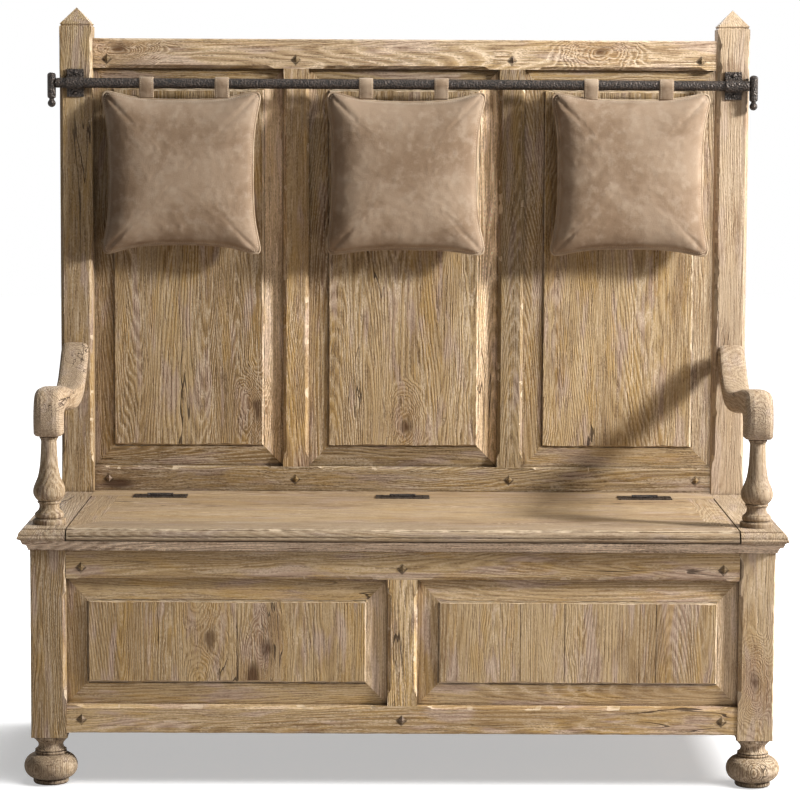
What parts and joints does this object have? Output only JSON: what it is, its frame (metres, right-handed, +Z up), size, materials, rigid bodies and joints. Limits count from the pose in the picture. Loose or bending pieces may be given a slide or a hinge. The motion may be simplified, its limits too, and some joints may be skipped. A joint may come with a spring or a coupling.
{
  "type": "settle bench",
  "caption": "Panelled oak settle bench with a hinged chest seat, tall framed back, carved arms on turned balusters, bun feet and an iron rod with hanging leather cushions.",
  "frame": {"origin": "centre of the overall box at floor level", "axes": "+X towards the right-hand end as seen from the front, -Y towards the front, +Z up"},
  "size_m": [1.424, 0.606, 1.457],
  "materials": {
    "oak": "limed and weathered, matt",
    "oak_panel": "limed and weathered, matt",
    "iron": "hammered, dark waxed",
    "cushion_leather": "soft nubuck, piped seam",
    "loop_leather": "nubuck with pale cut edges"
  },
  "bodies": {
    "settle": {"front_post_left": "oak", "front_post_right": "oak", "front_top_rail": "oak", "front_bottom_rail": "oak", "front_muntin": "oak", "front_panel_left": "oak_panel", "front_panel_right": "oak_panel", "end_rails_left": "oak", "end_rails_right": "oak", "end_panel_left": "oak_panel", "end_panel_right": "oak_panel", "back_post_left": "oak", "back_post_right": "oak", "back_top_rail": "oak", "back_seat_rail": "oak", "back_bottom_rail": "oak", "back_muntin_left": "oak", "back_muntin_right": "oak", "back_panel_left": "oak_panel", "back_panel_centre": "oak_panel", "back_panel_right": "oak_panel", "chest_back_board": "oak", "floor_boards": "oak", "floor_cleats": "oak", "hinge_rail": "oak", "strip_cleat": "oak", "front_moulding": "oak", "end_mouldings": "oak", "seat_end_left": "oak", "seat_end_right": "oak", "seat_rear_strip": "oak", "hinge_fixed_leaves": "iron", "hinge_pins": "iron", "hinge_fixed_screws": "iron", "arm_left": "oak", "arm_right": "oak", "baluster_left": "oak", "baluster_right": "oak", "front_feet": "oak", "rear_feet": "oak", "oak_pegs": "oak", "rod": "iron", "rod_tees": "iron", "rod_straps": "iron", "strap_screws": "iron"},
    "lid": {"lid_panel": "oak", "lid_front_rail": "oak", "lid_end_left": "oak", "lid_end_right": "oak", "lid_battens": "oak", "hinge_lid_leaves": "iron", "hinge_lid_screws": "iron"},
    "loops_left": {"loops_left": "loop_leather"},
    "cushion_left": {"cushion_left": "cushion_leather"},
    "loops_centre": {"loops_centre": "loop_leather"},
    "cushion_centre": {"cushion_centre": "cushion_leather"},
    "loops_right": {"loops_right": "loop_leather"},
    "cushion_right": {"cushion_right": "cushion_leather"}
  },
  "joints": [
    {"name": "lid_hinge", "type": "hinge", "parent": "settle", "child": "lid", "pos_m": [0, 0.174, 0.4887], "axis": [-1, 0, 0], "range_deg": [0, 100]},
    {"name": "loops_left_slide", "type": "slide", "parent": "settle", "child": "loops_left", "axis": [1, 0, 0], "range_m": [-0.018, 0.06]},
    {"name": "cushion_left_swing", "type": "hinge", "parent": "loops_left", "child": "cushion_left", "pos_m": [-0.4445, 0.229, 1.2805], "axis": [-1, 0, 0], "range_deg": [0, 80]},
    {"name": "loops_centre_slide", "type": "slide", "parent": "settle", "child": "loops_centre", "axis": [1, 0, 0], "range_m": [-0.06, 0.06]},
    {"name": "cushion_centre_swing", "type": "hinge", "parent": "loops_centre", "child": "cushion_centre", "pos_m": [0.0035, 0.229, 1.2805], "axis": [-1, 0, 0], "range_deg": [0, 80]},
    {"name": "loops_right_slide", "type": "slide", "parent": "settle", "child": "loops_right", "axis": [1, 0, 0], "range_m": [-0.06, 0.008]},
    {"name": "cushion_right_swing", "type": "hinge", "parent": "loops_right", "child": "cushion_right", "pos_m": [0.4515, 0.229, 1.2805], "axis": [-1, 0, 0], "range_deg": [0, 80]}
  ]
}
